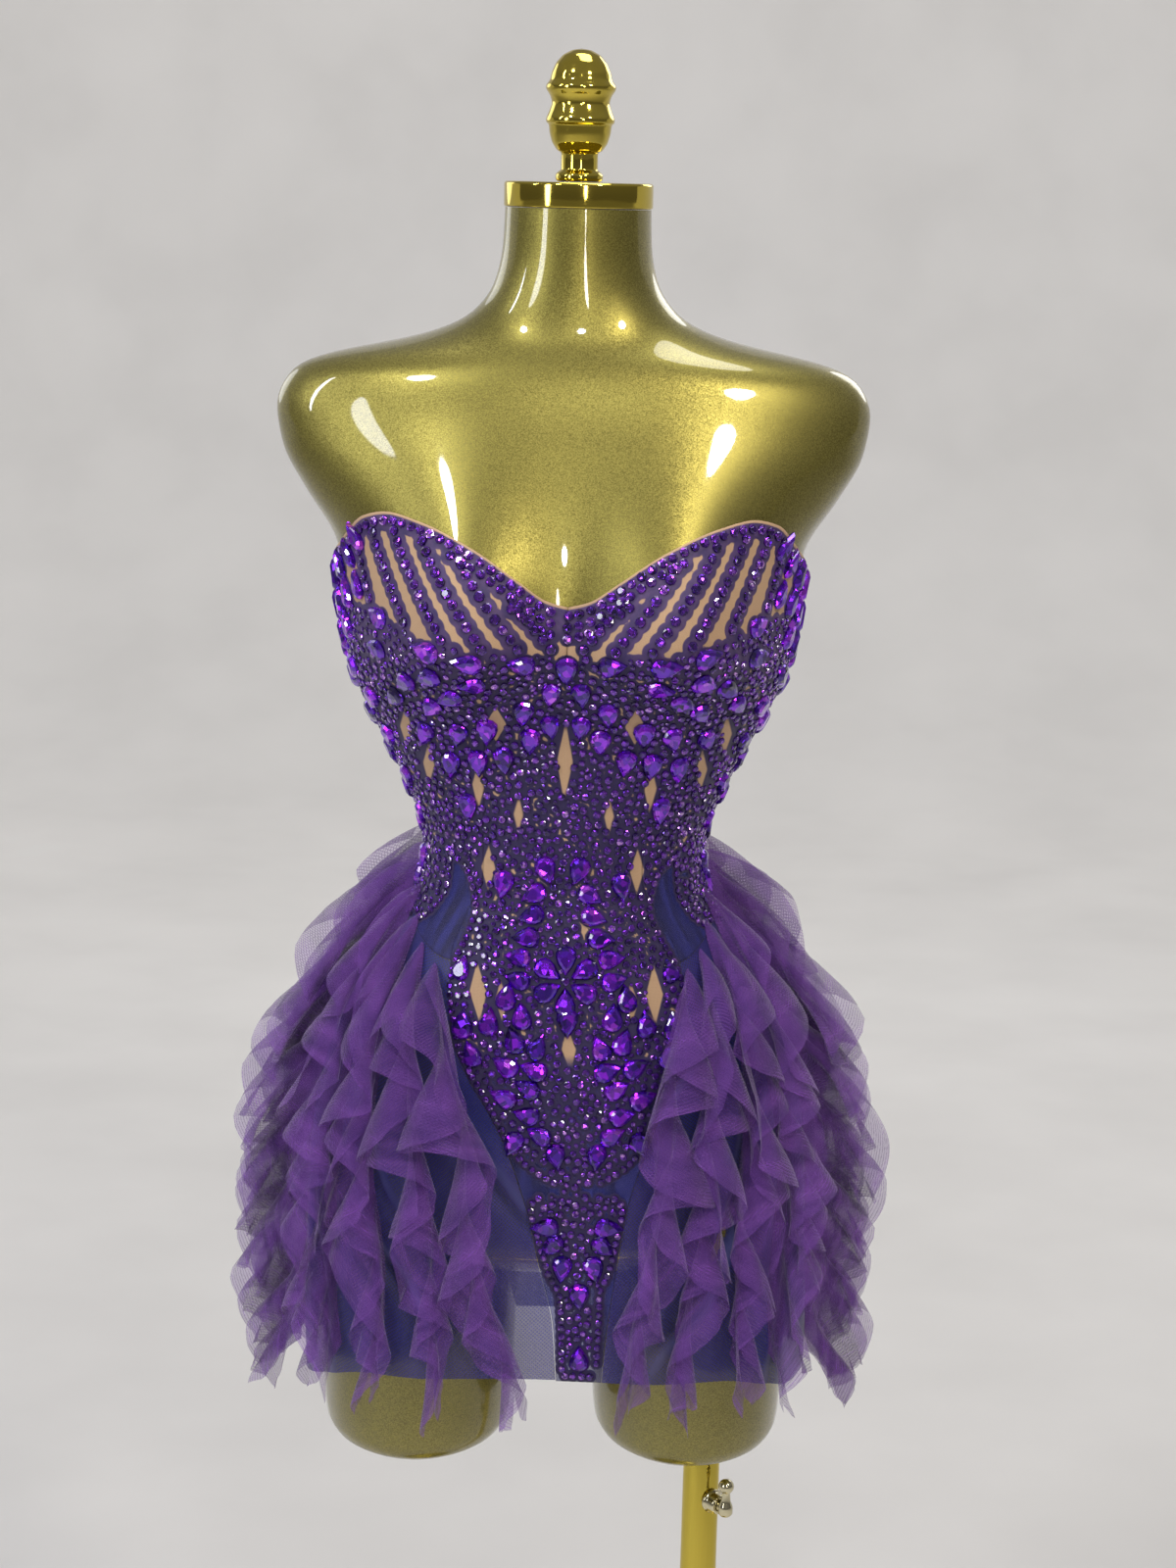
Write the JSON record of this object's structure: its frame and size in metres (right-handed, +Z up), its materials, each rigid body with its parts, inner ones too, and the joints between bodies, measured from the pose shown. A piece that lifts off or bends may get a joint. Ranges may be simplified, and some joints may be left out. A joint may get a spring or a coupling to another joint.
{
  "type": "rhinestone stage dress on a dress form",
  "caption": "Strapless sweetheart mini dress with beaded bodice, sheer skirt and gathered tulle hip ruffles, worn by a gold torso dress form on a one-pole stand.",
  "frame": {"origin": "centre of the base plate's underside, on the floor", "axes": "+Z up, -Y the wearer's front, +X the wearer's left"},
  "size_m": [0.4468, 0.38, 1.5836],
  "materials": {
    "beaded_mesh": "violet appliqué and glued stones on skin-tone stretch mesh",
    "rhinestone": "faceted deep violet glass, foiled back",
    "organza": "sheer blue violet organza with a soft sheen",
    "tulle": "matt purple net, gathered in strips",
    "zip_tape": "matt woven tape",
    "gold_paint": "metallic gold lacquer under a gloss clear coat",
    "gold_plate": "mirror-polished gold plating",
    "nickel": "polished nickel plating"
  },
  "bodies": {
    "stand": {"base_plate": "gold_plate", "base_flange": "gold_plate", "pole_tube": "gold_plate", "clamp_nut": "nickel"},
    "clamp": {"clamp_screw": "nickel"},
    "rod": {"pole_rod": "gold_plate"},
    "form": {"cup_left": "beaded_mesh", "side_front_left": "beaded_mesh", "back_left": "beaded_mesh", "skirt_front_left": "organza", "skirt_back_left": "organza", "ruffle_left_front_1": "tulle", "ruffle_left_front_2": "tulle", "ruffle_left_front_3": "tulle", "ruffle_left_front_4": "tulle", "ruffle_left_side_1": "tulle", "ruffle_left_side_2": "tulle", "ruffle_left_back_1": "tulle", "ruffle_left_back_2": "tulle", "ruffle_left_back_3": "tulle", "cup_right": "beaded_mesh", "side_front_right": "beaded_mesh", "back_right": "beaded_mesh", "skirt_front_right": "organza", "skirt_back_right": "organza", "ruffle_right_front_1": "tulle", "ruffle_right_front_2": "tulle", "ruffle_right_front_3": "tulle", "ruffle_right_front_4": "tulle", "ruffle_right_side_1": "tulle", "ruffle_right_side_2": "tulle", "ruffle_right_back_1": "tulle", "ruffle_right_back_2": "tulle", "ruffle_right_back_3": "tulle", "front_panel": "beaded_mesh", "zip_tape": "zip_tape", "zip_slider": "nickel", "form_torso": "gold_paint", "neck_cap": "gold_plate", "finial": "gold_plate"},
    "zip_tab": {"zip_pull_tab": "nickel"}
  },
  "joints": [
    {"name": "clamp_turn", "type": "hinge", "parent": "stand", "child": "clamp", "pos_m": [0.106, 0.004, 0.598], "axis": [0.5736, -0.8192, 0], "continuous": true},
    {"name": "height_slide", "type": "slide", "parent": "stand", "child": "rod", "axis": [0, 0, 1], "range_m": [0, 0.2]},
    {"name": "form_turn", "type": "hinge", "parent": "rod", "child": "form", "pos_m": [0.106, 0.004, 0.7], "axis": [0, 0, 1], "continuous": true},
    {"name": "zip_tab_swing", "type": "hinge", "parent": "form", "child": "zip_tab", "pos_m": [0, 0.10098, 1.22356], "axis": [1, 0, 0], "range_deg": [0, 165]}
  ]
}
